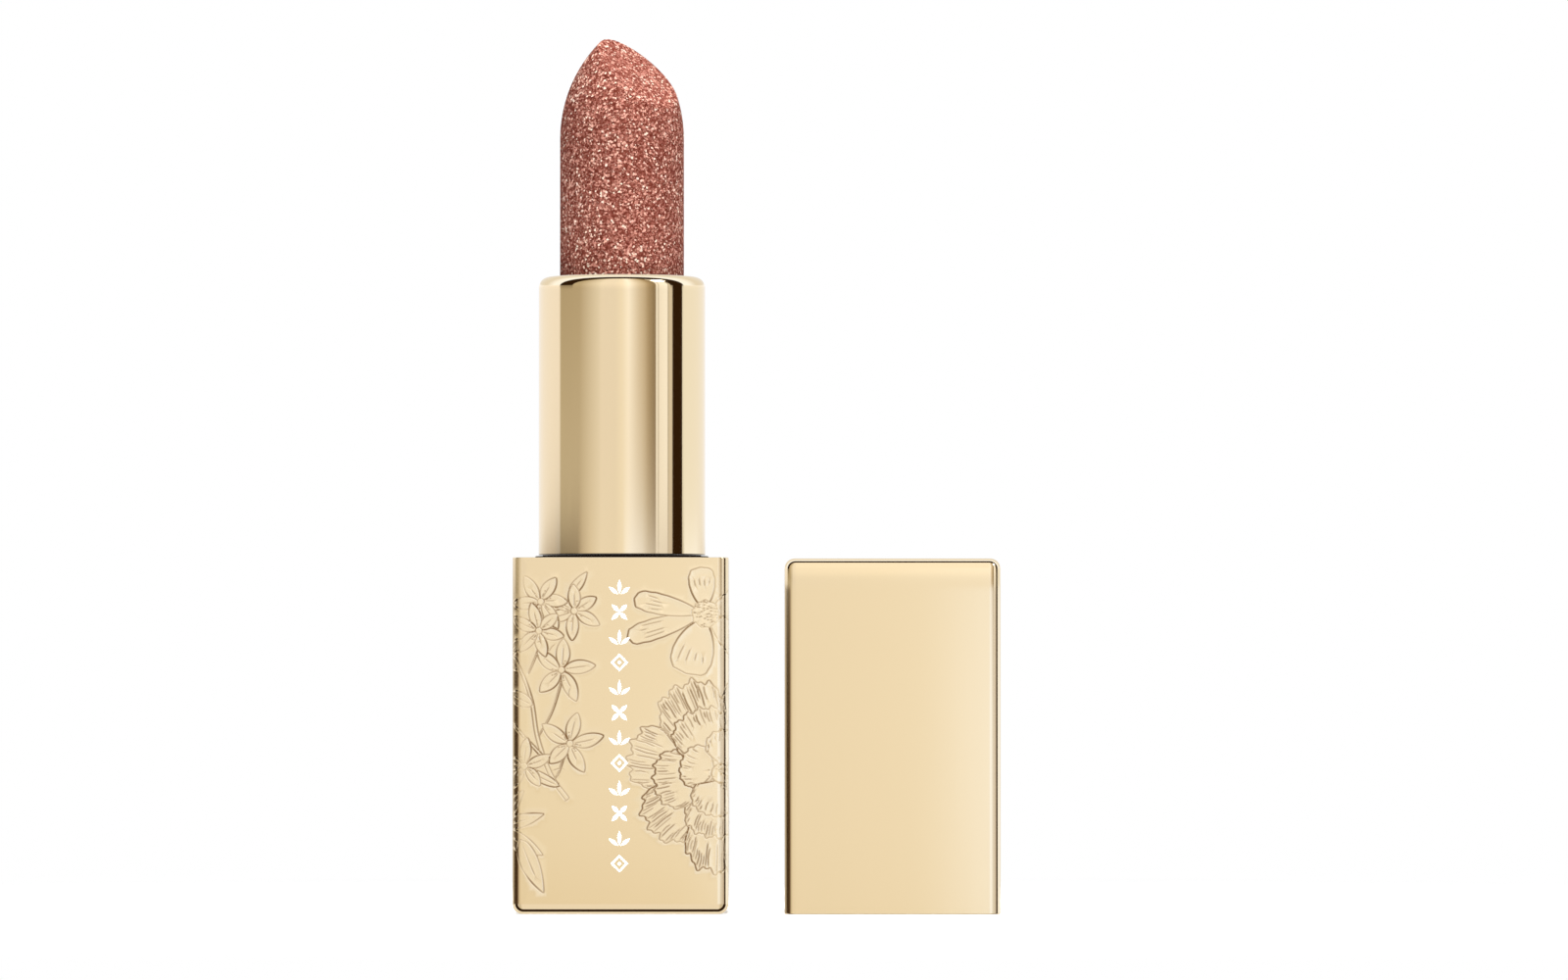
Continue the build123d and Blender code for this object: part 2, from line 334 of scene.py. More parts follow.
def branch(art, u):
    """A flowering branch that stands to the left of u."""
    stems = [
        (0.16, [(-5.6, 22.8), (-6.6, 19.6), (-7.9, 17.2)]),
        (0.16, [(-7.4, 27.6), (-8.1, 25.2), (-8.9, 23.2)]),
        (0.16, [(-5.4, 15.4), (-6.0, 13.6), (-6.5, 13.0)]),
        (0.42, [(-5.1, 11.1), (-6.7, 13.4), (-8.0, 17.0), (-8.6, 20.6), (-9.7, 23.6), (-11.4, 26.4)]),
        (0.3, [(-7.2, 14.9), (-8.9, 16.7), (-10.6, 18.4), (-12.6, 19.2)]),
    ]
    # x, z, angle, length, width and bend
    leaves = [
        (-5.9, 12.4, 158, 4.6, 0.95, -0.5), (-8.5, 20.2, 152, 3.4, 1.3, 0.3),
        (-11.6, 8.6, 10, 4.4, 1.3, 0.35), (-11.9, 8.0, -24, 5.0, 1.7, -0.3),
        (-9.6, 7.2, -72, 5.6, 1.8, 0.5), (-11.8, 9.4, 40, 3.6, 1.2, 0.4),
        (-4.9, 31.0, 46, 2.7, 1.0, 0.25),
    ]
    # x, z, radius, petals and turn
    flowers = [
        (-9.3, 14.3, 2.4, 5, 20), (-4.9, 16.5, 2.9, 5, 74), (-5.7, 23.6, 2.9, 5, 12),
        (-4.5, 29.3, 2.6, 6, 26), (-7.7, 30.2, 2.7, 6, 8), (-7.9, 27.4, 2.5, 6, 40),
        (-11.6, 25.2, 2.4, 5, 30),
    ]
    for width, points in stems:
        art.stem([(u + x, z) for x, z in points], width)
    for x, z, *shape in leaves:
        art.leaf(u + x, z, *shape)
    for x, z, *shape in flowers:
        art.star_flower(u + x, z, *shape)
    for x, z, turn in [(-6.5, 13.9, 10), (-5.0, 21.0, 80), (-6.9, 25.4, 50)]:
        art.line(turned([(0, 0), (0.5, 0.08), (0.9, 0)], turn, (u + x, z)), 0.5)


def side_spray(art, u, low):
    """A tall spray of leaves with flowers, for a side face."""
    stalk = [(-0.6, 0.0), (0.9, 7.5), (-0.4, 15.5), (0.8, 23.0)]
    leaves = [(2.4, 5.0), (5.6, 4.6), (9.0, 4.4), (12.6, 3.8), (16.2, 3.4)]
    art.stem([(u + x, low + z) for x, z in stalk], 0.4)
    for k, (height, length) in enumerate(leaves):
        side = 1 if k % 2 else -1
        angle = 90 - side * 54
        art.leaf(u + 0.35 * side, low + height, angle, length, 1.5, 0.5 * side)
    art.star_flower(u + 0.8, low + 24.0, 3.0, 6, 10)
    art.star_flower(u - 2.6, low + 19.3, 2.4, 5, 34)
    art.star_flower(u + 3.2, low + 18.4, 2.2, 5, 66)


def draw_base(side):
    """The whole engraving. side is the distance between the middles of two neighbouring faces."""
    art = Drawing(11)
    petals = [
        (20, 4.6, 2.6), (-38, 5.2, 2.9), (96, 3.9, 2.5), (252, 5.4, 4.0), (196, 7.2, 2.0), (168, 6.4, 2.0),
    ]
    for face, left in ((0, 0), (-2 * side, 2 * side - 0.4)):
        art.open_flower(face + 8.2, 29.0, 5.4, petals)
        art.ruffled_bloom(face + 9.7, 13.6, 9.1, 12)
        branch(art, left)
    side_spray(art, side + 1.4, 3.6)
    side_spray(art, -side + 1.4, 4.2)
    return art


# --- Square shells ---


def side_pitch(half):
    """The distance along a shell's outline between the middles of two neighbouring sides."""
    return 2 * (half - CORNER) + math.pi / 2 * CORNER


def outline_stations(half):
    """Distances round the outline, from the back's middle by way of the front, close at corners."""
    flat, quarter = half - CORNER, side_pitch(half)
    straight = np.linspace(-flat, flat, 57)
    bend = flat + np.linspace(0, math.pi / 2 * CORNER, 15)[1:-1]
    one = np.concatenate([straight, bend])
    around = np.concatenate([one + quarter * k for k in (-2, -1, 0, 1)])
    around = np.unique(np.round(around, 9))
    back = -2 * quarter
    around = np.sort(np.where(around < back, around + 4 * quarter, around))
    if around[0] - back > 1e-6:
        around = np.concatenate([[back], around])
    return around


def on_outline(u, half):
    """For distances u: which side, where along it, and the corner's angle."""
    flat, quarter = half - CORNER, side_pitch(half)
    run = np.mod(u + flat, 4 * quarter)
    side = np.minimum((run / quarter).astype(int), 3)
    rest = run - side * quarter
    share = np.clip(rest / flat - 1, -1, 1)
    angle = np.clip((rest - 2 * flat) / CORNER, 0, math.pi / 2)
    return side, share, angle


def ring(stations, half, corner, z):
    """An outline's points at height z, from its half width and corner, and their directions outward."""
    side, share, angle = stations
    flat = half - corner
    x = share * flat + corner * np.sin(angle)
    y = -flat - corner * np.cos(angle)
    nx, ny = np.sin(angle), -np.cos(angle)
    turn = side * math.pi / 2
    c, s = np.cos(turn), np.sin(turn)
    z = np.broadcast_to(z, x.shape)
    return (
        np.column_stack([x * c - y * s, x * s + y * c, z]),
        np.column_stack([nx * c - ny * s, nx * s + ny * c, np.zeros(len(x))]),
    )


def engraving_points(art, limits, period):
    """Where the skin needs points: along every line, on it and to both sides of it."""
    groups = [[] for _ in FLANKS]
    samples = []
    for points, weight in art.lines:
        step = FRONT_STEP if abs(points[len(points) // 2][0]) < 12 else OTHER_STEP
        dense = resample(points, step)
        strength = np.interp(np.linspace(0, 1, len(dense)), np.linspace(0, 1, len(points)), weight)
        along = np.gradient(dense, axis=0)
        size = np.linalg.norm(along, axis=1)
        size[size == 0] = 1
        along = along / size[:, None]
        across = np.column_stack([-along[:, 1], along[:, 0]])
        groups[0].append(dense)
        for away in (-1, 1):
            for group, distance in zip(groups[1:], FLANKS[1:]):
                group.append(dense + across * away * distance)
        samples.append(np.column_stack([dense, along, strength, np.full(len(dense), step)]))
    low, high = limits
    taken, kept = set(), []
    for group, cell in zip(groups, FLANK_GAPS):
        for u, z in np.vstack(group):
            if not (low < z < high and -period / 2 + 0.05 < u < period / 2 - 0.05):
                continue
            close = {(round(u / cell), round(z / cell), cell), (round(u / 0.05), round(z / 0.05))}
            if not close & taken:
                taken |= close
                kept.append((u, z))
    return kept, np.vstack(samples)


def relief(points, art, samples):
    """Height, slope along u and z, line strength, painted rim highlight and petal fill at each point of the
    skin.
    """
    tree = kdtree.KDTree(len(samples))
    for i, row in enumerate(samples):
        tree.insert((row[0], row[1], 0), i)
    tree.balance()
    count = len(points)
    height, etched, bright, filled = (np.zeros(count) for _ in range(4))
    slope = np.zeros((count, 2))
    for i, (u, z) in enumerate(points):
        _, nearest, distance = tree.find((u, z, 0))
        if distance > 0.5:
            continue
        su, sz, tu, tz, strength, step = samples[nearest]
        along = (u - su) * tu + (z - sz) * tz
        away = -(u - su) * tz + (z - sz) * tu
        if abs(along) > step * 0.75:
            gap = distance
            direction = ((u - su) / max(gap, 1e-9), (z - sz) / max(gap, 1e-9))
        else:
            gap = abs(away)
            sign = 1 if away >= 0 else -1
            direction = (-tz * sign, tu * sign)
        width = GROOVE_WIDTH * (0.7 + 0.3 * strength)
        dip = math.exp(-((gap / width) ** 2))
        burr = math.exp(-(((gap - BURR_PLACE) / BURR_WIDTH) ** 2))
        height[i] = strength * (BURR_HEIGHT * burr - GROOVE_DEPTH * dip)
        change = strength * (
            GROOVE_DEPTH * dip * 2 * gap / width**2
            - BURR_HEIGHT * burr * 2 * (gap - BURR_PLACE) / BURR_WIDTH**2
        )
        slope[i] = change * direction[0], change * direction[1]
        etched[i] = strength * dip
        # Painted highlight on the line's rim, stronger on its lower left side.
        under = -0.4 * direction[0] - 0.9 * direction[1]
        bright[i] = strength * burr * (LEAST_RIM_HIGHLIGHT + (1 - LEAST_RIM_HIGHLIGHT) * under)
    for outline in art.areas:
        filled[inside(points, outline)] = 1.0
    height += filled * RAISED * (1 - np.clip(etched, 0, 1))
    return height, slope, etched, bright, filled


def unrolled(half, foot, head, art):
    """The upright skin laid flat: its points and triangles, its bottom and top rows as indices, and
    the engraving's samples. The two sides of the seam up the back share their points."""
    around, quarter = outline_stations(half), side_pitch(half)
    period, flat, count = 4 * quarter, half - CORNER, len(around)
    if art is None:
        rows = np.concatenate([np.linspace(foot, foot + 4, 26), np.linspace(foot + 4, head, 16)[1:]])
        kept, samples, spaced = [], None, around[1:]
    else:
        rows = np.linspace(foot, head, int((head - foot) / PLAIN_STEP) + 1)
        kept, samples = engraving_points(art, (foot + 0.06, head - 0.06), period)
        spaced = around[1::2]
    inner_rows = rows[1:-1]
    points = [(u, z) for z in (rows[0], rows[-1]) for u in (*around, period / 2)]
    points += [(u, z) for u in (-period / 2, period / 2) for z in inner_rows]
    taken = {(round(u / 0.3), round(z / 0.3)) for u, z in kept}
    for z in inner_rows:
        for u in around[1:]:
            at_corner = np.mod(u + flat, quarter) > 2 * flat - 1e-6
            crowded = (round(u / 0.3), round(z / 0.3)) in taken
            if at_corner or (u in spaced and not crowded):
                points.append((u, z))
    points += kept
    made, _, triangles, origin, _, _ = delaunay_2d_cdt(
        [Vector(p) for p in points], [], [], 0, 1e-6, True
    )
    place_of = {source: i for i, sources in enumerate(origin) for source in sources}
    same = np.arange(len(made))
    left_start = 2 * (count + 1)
    same[place_of[count]] = place_of[0]
    same[place_of[2 * count + 1]] = place_of[count + 1]
    for k in range(len(inner_rows)):
        same[place_of[left_start + len(inner_rows) + k]] = place_of[left_start + k]
    faces = [tuple(int(same[i]) for i in triangle) for triangle in triangles]
    faces = [face for face in faces if len(set(face)) == 3]
    edges = [[place_of[start + i] for i in range(count)] for start in (0, count + 1)]
    return np.array([(p.x, p.y) for p in made]), faces, edges, samples


def shell(name, body, node, centre_x, mouth_up, art=None):
    """A closed square cup with a thin wall, its mouth up or down, engraved if art is given."""
    low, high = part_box(node)
    half, tall = (high.x - low.x) / 2 / MM, (high.z - low.z) / MM
    foot, head = END_ROUND, tall - LIP_ROUND
    flat_points, faces, (bottom_row, top_row), samples = unrolled(half, foot, head, art)
    where = on_outline(flat_points[:, 0], half)
    share_up = 2 * (flat_points[:, 1] - foot) / (head - foot) - 1
    if art is None:
        height, slope = np.zeros(len(flat_points)), np.zeros((len(flat_points), 2))
        etched = bright = filled = height
        under = np.clip(1 - (flat_points[:, 1] - foot) / CAP_CROWN_REACH, 0, 1)
        lean = -math.radians(CAP_CROWN) * under**2
    else:
        height, slope, etched, bright, filled = relief(flat_points, art, samples)
        lean = math.radians(BASE_CROWN) * share_up
    # The engraving fades out over the upright edges.
    fade = 1 - 0.7 * np.clip((np.abs(where[1]) - EDGE_FADE) / (1 - EDGE_FADE), 0, 1)
    etched, bright, slope, height = etched * fade, bright * fade, slope * fade[:, None], height * fade
    skin, outward = ring(where, half, CORNER, flat_points[:, 1])
    sideways = np.column_stack([-outward[:, 1], outward[:, 0], np.zeros(len(skin))])
    skin = skin + outward * height[:, None]
    swing = math.radians(SIDE_CROWN) * (where[1] - where[2] * 4 / math.pi)
    normals = (
        outward
        + sideways * (np.tan(swing) - slope[:, 0])[:, None]
        + np.array([0, 0, 1.0]) * (np.tan(lean) - slope[:, 1])[:, None]
    )
    normals /= np.linalg.norm(normals, axis=1)[:, None]

    vertices, shade = [skin], [normals]
    stations = on_outline(outline_stations(half), half)
    count, total = len(stations[0]), len(skin)

    def close(edge, rings, middle_z, outside):
        """Joins rings of (half width, corner, height, facing) to an edge, the last one to a middle."""
        nonlocal total
        for half_width, corner, z, facing in rings:
            points, out = ring(stations, half_width, corner, z)
            vertices.append(points)
            shade.append(out * facing[0] + np.array([0, 0, facing[1]]))
            new = list(range(total, total + count))
            total += count
            above, below = (edge, new) if outside else (new, edge)
            for i in range(count):
                j = (i + 1) % count
                faces.append((above[i], below[i], below[j], above[j]))
            edge = new
        vertices.append(np.array([[0, 0, middle_z]]))
        shade.append(np.zeros((1, 3)))
        for i in range(count):
            j = (i + 1) % count
            faces.append((edge[i], total, edge[j]) if outside else (edge[j], total, edge[i]))
        total += 1

    # Rings of no facing take their own normals.
    own = (0, 0)
    end = [
        (END_ROUND * (1 - math.cos(a)), END_ROUND * (1 - math.sin(a)), (math.cos(a), -math.sin(a)))
        for a in np.linspace(0, math.pi / 2, 11)[1:]
    ]
    end = [(half - inset, CORNER - inset, z, facing) for inset, z, facing in end]
    if art is None:
        end_z = 0.0
        end += [(6.0, CORNER, end_z, own)]
    else:
        end_z = LABEL_DEPTH
        end += [(LABEL_HALF + 0.02, CORNER, 0.0, own), (LABEL_HALF, CORNER, end_z, own)]
    close(bottom_row, end, end_z, True)
    lip = [
        (LIP_ROUND * (1 - math.cos(a)), LIP_ROUND * (1 - math.sin(a)), (math.cos(a), math.sin(a)))
        for a in np.linspace(0, math.pi / 2, 5)[1:]
    ]
    lip += [
        (WALL - LIP_ROUND * (1 - math.sin(a)), LIP_ROUND * (1 - math.cos(a)), (-math.sin(a), math.cos(a)))
        for a in np.linspace(0, math.pi / 2, 4)
    ]
    lip = [(half - inset, CORNER - inset, tall - down, facing) for inset, down, facing in lip]
    close(top_row, lip + [(half - WALL, CORNER - WALL, WALL, own)], WALL, False)

    everything, normals = np.vstack(vertices), np.vstack(shade)
    if not mouth_up:
        everything[:, 2] = tall - everything[:, 2]
        normals[:, 2] = -normals[:, 2]
        faces = [tuple(reversed(f)) for f in faces]
    everything[:, 0] += centre_x
    made_object = new_object(name, everything, faces, body)
    mesh = made_object.data
    if len(mesh.vertices) != len(everything):
        raise RuntimeError(f"{name} lost points")
    mesh.set_sharp_from_angle(angle=math.radians(50))
    for label, values in (("etched", etched), ("painted_rim_highlight", bright), ("filled", filled)):
        full = np.zeros(len(everything), np.float32)
        full[: len(values)] = values
        mesh.attributes.new(label, "FLOAT", "POINT").data.foreach_set("value", full)
    mesh.normals_split_custom_set_from_vertices([tuple(n) for n in normals])
    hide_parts(node)
    return made_object


# --- Round pieces ---


def lathe(name, body, profile, segments=192):
    """A closed ring with that profile of (radius, z) points, listed counter-clockwise."""
    angles = np.linspace(0, 2 * math.pi, segments, endpoint=False)
    vertices = [hoop(radius, z, angles) for radius, z in profile]
    faces = []
    for k in range(len(profile)):
        faces += strip(k * segments, (k + 1) % len(profile) * segments, segments)
    made = new_object(name, np.vstack(vertices), faces, body)
    made.data.set_sharp_from_angle(angle=math.radians(35))
    return made


def arc(centre, radius, start, end, count):
    """Points along an arc between two angles in degrees."""
    return [tuple(p) for p in polar(centre, radius, np.radians(np.linspace(start, end, count)))]


def make_tube():
    """The round tube: thin wall, rounded foot, rounded shoulder and a hole for the lipstick."""
    low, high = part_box("outer_tube")
    radius, foot, top = high.x / MM, low.z / MM, high.z / MM
    wall, shoulder, lip, hole, rim = 0.4, 1.05, 0.1, 6.71, 0.42
    outside = arc((radius - lip, foot + lip), lip, -90, 0, 5)
    outside += [(radius, foot + lip + 0.02), (radius, (foot + top) / 2), (radius, top - shoulder - 0.5)]
    outside += arc((radius - shoulder, top - shoulder), shoulder, 0, 90, 17)
    outside += [(hole + lip + 0.05, top)]
    outside += arc((hole + lip, top - lip), lip, 90, 180, 5)
    outside += [
        (hole, top - rim),
        (radius - shoulder, top - wall),
        (radius - wall, top - shoulder),
        (radius - wall, foot + lip),
    ]
    outside += arc((radius - wall + lip, foot + lip), lip, 180, 270, 4)
    tube = lathe("tube", "tube", outside)
    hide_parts("outer_tube")
    return tube


def make_bullet():
    """The lipstick: round sides drawn in to a tip by an arc, with one slanted face, all edges softened."""
    low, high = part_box("bullet")
    radius, root = high.x / MM, low.z / MM
    nose_start, nose_radius = 75.5, 13.5
    slope, turn, cut_height = math.radians(43.0), math.radians(-40.0), 83.75
    softness, foot_round, beyond = 0.12, 0.15, 60
    segments, rings_up, rings_side = 224, 110, 40
    psi = np.linspace(0, 2 * math.pi, segments, endpoint=False)
    flat = np.append(polar((0, 0), math.sin(slope), turn)[0], math.cos(slope))
    vertices = []
    back = nose_radius - radius
    for theta in np.linspace(0, math.pi / 2, rings_up + 1)[1:]:
        direction = hoop(math.sin(theta), math.cos(theta), psi)
        along = back * math.sin(theta)
        ogive = -along + math.sqrt(along**2 + nose_radius**2 - back**2)
        facing = direction @ flat
        plane = (cut_height - nose_start) * flat[2] / np.maximum(facing, 0.02)
        plane = np.where(facing > 0.02, np.minimum(plane, beyond), beyond)
        gap = np.clip(0.5 + (plane - ogive) / (2 * softness), 0, 1)
        reach = plane * (1 - gap) + ogive * gap - softness * gap * (1 - gap)
        vertices.append(direction * reach[:, None] + np.array([0, 0, nose_start]))
    for z in np.linspace(nose_start, root + foot_round, rings_side)[1:]:
        vertices.append(hoop(radius, z, psi))
    vertices.append(hoop(radius - foot_round, root, psi))
    loops = len(vertices)
    faces = []
    for k in range(loops - 1):
        faces += [tuple(reversed(f)) for f in strip(k * segments, (k + 1) * segments, segments)]
    points = np.vstack(vertices + [np.array([[0, 0, cut_height], [0, 0, root]])])
    top, bottom = loops * segments, loops * segments + 1
    last = (loops - 1) * segments
    for i in range(segments):
        j = (i + 1) % segments
        faces.append((top, i, j))
        faces.append((last + j, last + i, bottom))
    made = new_object("lipstick", points, faces, "carrier")
    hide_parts("bullet")
    return made


def make_marks():
    """A printed column of sprigs, rosettes and lozenges up the front, in place of any lettering."""
    face_y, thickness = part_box("base_shell")[0].y / MM - 0.018, 0.03
    vertices, faces = [], []

    def pad(outline):
        start, count = len(vertices), len(outline)
        vertices.extend((x, y, z) for y in (face_y, face_y + thickness) for x, z in outline)
        faces.append(tuple(range(start, start + count)))
        faces.append(tuple(reversed(range(start + count, start + 2 * count))))
        for i in range(count):
            j = (i + 1) % count
            faces.append((start + j, start + i, start + count + i, start + count + j))

    def diamond(x, z, wide, tall):
        return [(x - wide, z), (x, z - tall), (x + wide, z), (x, z + tall)]

    def lens(x, z, angle, length, width):
        t = np.linspace(0, 1, 9)
        lower = np.column_stack([length * t, -width * np.sin(math.pi * t)])
        upper = (lower * (1, -1))[::-1]
        pad([tuple(p) for p in turned(np.vstack([lower, upper[1:-1]]), angle, (x, z))])

    centre, lowest, pitch, size, bar = -0.1, 4.9, 2.43, 0.86, 0.3
    for k in range(12):
        z = lowest + k * pitch
        if k % 4 == 0:
            outer = diamond(centre, z, size, size)
            inner = diamond(centre, z, size - bar, size - bar * 0.85)
            for i in range(4):
                j = (i + 1) % 4
                pad([outer[i], outer[j], inner[j], inner[i]])
            pad(diamond(centre, z, 0.2, 0.2))
        elif k % 4 == 2:
            for angle in (45, 135, 225, 315):
                lens(centre, z, angle, 1.05, 0.21)
        else:
            for side in (-1, 0, 1):
                lens(centre + side * 0.12, z - 0.7, 90 - side * 52, 1.45 - 0.3 * abs(side), 0.19)
    return new_object("front_marks", vertices, faces, "base", smooth=False)


# --- Materials ---


def darker(colour, share):
    return tuple(c * share for c in colour)


class Nodes:
    """A tree of shader nodes, with short ways to add the kinds used here."""

    def __init__(self, tree):
        self.tree = tree

    def feed(self, socket, value):
        """Links another node's output to the socket, or sets the socket's value."""
        if isinstance(value, bpy.types.NodeSocket):
            self.tree.links.new(value, socket)
        else:
            socket.default_value = value

    def add(self, kind, inputs=None, **settings):
        node = self.tree.nodes.new(kind)
        for key, value in settings.items():
            setattr(node, key, value)
        for key, value in (inputs or {}).items():
            self.feed(node.inputs[key], value)
        return node

    def math(self, operation, first, second=0.0):
        return self.add("ShaderNodeMath", {0: first, 1: second}, operation=operation).outputs[0]

    def vector(self, operation, inputs, output="Vector"):
        return self.add("ShaderNodeVectorMath", inputs, operation=operation).outputs[output]

    def mix(self, share, first, second, **settings):
        """A blend of two colours, each another node's output or three numbers."""
        first, second = ((*c, 1.0) if isinstance(c, tuple) else c for c in (first, second))
        inputs = {0: share, 6: first, 7: second}
        return self.add("ShaderNodeMix", inputs, data_type="RGBA", **settings).outputs[2]

    def ramp(self, value, stops):
        node = self.add("ShaderNodeValToRGB", {"Fac": value})
        elements = node.color_ramp.elements
        elements.remove(elements[1])
        elements[0].position = stops[0][0]
        elements[0].color = (*stops[0][1], 1.0)
        for place, colour in stops[1:]:
            elements.new(place).color = (*colour, 1.0)
        return node.outputs["Color"]

    def spread(self, value, low, high, start=0.0, end=1.0, **settings):
        """The value carried from the range start to end over to the range low to high."""
        inputs = {"Value": value, "From Min": start, "From Max": end, "To Min": low, "To Max": high}
        return self.add("ShaderNodeMapRange", inputs, **settings).outputs["Result"]

    def step(self, value, start, end):
        """0 up to start and 1 from end on."""
        return self.spread(value, 0.0, 1.0, start, end)


class Look(Nodes):
    """A material built from nodes, on one Principled shader."""

    def __init__(self, name):
        self.material = bpy.data.materials.new(name)
        self.material.use_nodes = True
        super().__init__(self.material.node_tree)
        self.shader = self.tree.nodes["Principled BSDF"]
        self.coordinates = self.add("ShaderNodeTexCoord").outputs["Object"]

    def set(self, **values):
        for key, value in values.items():
            self.feed(self.shader.inputs[key.replace("_", " ")], value)

    def noise(self, scale, detail, stretch=None):
        vector = self.coordinates
        if stretch:
            vector = self.add("ShaderNodeMapping", {"Vector": vector, "Scale": stretch}).outputs["Vector"]
        inputs = {"Vector": vector, "Scale": scale, "Detail": detail}
        return self.add("ShaderNodeTexNoise", inputs).outputs["Fac"]

    def flakes(self, scale):
        """A colour for each small cell, and that colour's red part."""
        inputs = {"Vector": self.coordinates, "Scale": scale}
        colour = self.add("ShaderNodeTexVoronoi", inputs).outputs["Color"]
        return colour, self.add("ShaderNodeSeparateColor", {"Color": colour}).outputs["Red"]

    def attribute(self, name):
        return self.add("ShaderNodeAttribute", attribute_name=name).outputs["Fac"]

    def bump(self, value, strength):
        inputs = {"Height": value, "Strength": strength, "Distance": BUMP}
        return self.add("ShaderNodeBump", inputs).outputs["Normal"]


def polished_gold(name, roughness):
    """Polished gold plating with faint hairlines and the slightest unevenness."""
    look = Look(name)
    hair = look.noise(900, 3.0, (1.0, 1.0, 0.06))
    cloud = look.noise(140, 2.0)
    look.set(
        Base_Color=look.mix(look.spread(cloud, 0.0, 0.12), GOLD, darker(GOLD, 0.93)),
        Metallic=1.0,
        Roughness=look.spread(hair, roughness * 0.8, roughness * 1.25),
    )
    return look


def tube_gold(foot):
    """The tube's gold, dark right at its foot, where the seam shades it."""
    look = polished_gold("tube_gold", 0.06)
    height = look.add("ShaderNodeSeparateXYZ", {"Vector": look.coordinates}).outputs["Z"]
    clear = look.step(height, foot + 0.09 * MM, foot + 0.13 * MM)
    look.set(Base_Color=look.mix(clear, (0.03, 0.016, 0.008), GOLD))
    return look.material


def engraved_gold():
    """The base's gold: the lines painted dark for the shade in their grooves, a painted highlight on their
    rims, and petals a little more satin.
    """
    look = polished_gold("shell_gold_engraved", 0.08)
    etched, filled, painted_rim_highlight = (look.attribute(name) for name in ("etched", "filled", "painted_rim_highlight"))
    satin = look.mix(look.math("MULTIPLY", filled, 0.3), GOLD, (0.95, 0.80, 0.57))
    # Painted highlight: the lines' rims are mixed towards a pale gold.
    satin = look.mix(look.math("MULTIPLY", painted_rim_highlight, 0.9), satin, (1.0, 0.92, 0.74))
    # Painted shade: each line's core is mixed towards dark brown; its roughness rises as well.
    painted_groove_shade = look.math("MINIMUM", look.math("MULTIPLY", etched, 1.05), 1.0)
    rough = look.math("ADD", look.math("MULTIPLY", filled, 0.04), look.math("MULTIPLY", etched, 0.25))
    look.set(
        Base_Color=look.mix(painted_groove_shade, satin, (0.24, 0.115, 0.038)),
        Roughness=look.math("ADD", rough, look.spread(look.noise(5200, 2.0), 0.06, 0.09)),
    )
    return look.material


def glitter_wax():
    """Rose-brown lipstick packed with fine gold and pink flakes that each lie at their own angle."""
    look = Look("lipstick")
    colours, pick = look.flakes(5600.0)
    _, pick_fine = look.flakes(9400.0)
    wax = (0.078, 0.013, 0.008)
    large = look.ramp(pick, [
        (0.0, wax), (0.42, (0.125, 0.027, 0.017)), (0.68, (0.225, 0.072, 0.053)),
        (0.86, (0.48, 0.215, 0.165)), (0.94, (0.74, 0.44, 0.34)), (1.0, (1.0, 0.88, 0.72)),
    ])
    small = look.ramp(pick_fine, [
        (0.0, wax), (0.6, (0.145, 0.034, 0.024)), (0.85, (0.36, 0.14, 0.105)), (1.0, (0.78, 0.50, 0.39)),
    ])
    tilt = look.vector("SUBTRACT", {0: colours, 1: (0.5, 0.5, 0.5)})
    tilt = look.vector("SCALE", {0: tilt, "Scale": 0.45})
    facing = look.add("ShaderNodeNewGeometry").outputs["Normal"]
    look.set(
        Base_Color=look.mix(0.35, large, small),
        Metallic=look.math("MULTIPLY", look.math("GREATER_THAN", pick, 0.95), 0.2),
        Roughness=0.4,
        Normal=look.vector("NORMALIZE", {0: look.vector("ADD", {0: facing, 1: tilt})}),
        Specular_IOR_Level=0.0,
        Coat_Weight=0.02,
        Coat_Roughness=0.05,
    )
    return look.material


def moulded(name, colour, roughness, metallic=0.0, specular=0.5):
    """Moulded or pressed plastic with a fine grain and slight cloudiness."""
    look = Look(name)
    grain = look.noise(2600, 3.0)
    cloud = look.noise(220, 2.0)
    look.set(
        Base_Color=look.mix(look.spread(cloud, 0.0, 0.35), colour, darker(colour, 0.86)),
        Metallic=metallic,
        Roughness=look.spread(grain, roughness * 0.85, roughness * 1.15),
        Normal=look.bump(grain, 0.08),
        Specular_IOR_Level=specular,
    )
    return look.material


def turned_metal(name, colour, roughness):
    """Metal turned on a lathe, with fine rings and a dull sheen."""
    look = Look(name)
    rings = look.noise(900, 2.0, (1.0, 1.0, 9.0))
    look.set(
        Base_Color=look.mix(look.spread(rings, 0.0, 0.4), colour, darker(colour, 0.8)),
        Metallic=1.0,
        Roughness=look.spread(rings, roughness * 0.8, roughness * 1.3),
        Normal=look.bump(rings, 0.12),
    )
    return look.material


def paper(name, colour):
    """Matt printed ink or label stock, with a faint fibre."""
    look = Look(name)
    fibre = look.noise(1800, 5.0, (1.0, 0.5, 1.0))
    look.set(
        Base_Color=look.mix(look.spread(fibre, 0.0, 0.5), colour, darker(colour, 0.93)),
        Roughness=0.7,
        Normal=look.bump(fibre, 0.1),
    )
    return look.material


def paint(obj, material):
    obj.data.materials.clear()
    obj.data.materials.append(material)


# --- Studio ---


def band(angles_and_colours):
    """Stops for a ramp over 0 to 180 degrees away from the front, at half their brightness."""
    return [(angle / 180, darker(colour, 0.5)) for angle, colour in angles_and_colours]


FRONT = (0.968, 0.951, 0.914)
BRIGHT = (1.0, 1.02, 1.08)
PANEL = (1.09, 1.13, 1.22)
OUTSIDE = (1.15, 1.26, 1.5)
BEHIND = (0.88, 0.87, 0.85)
BLACK = (0.029, 0.013, 0.004)

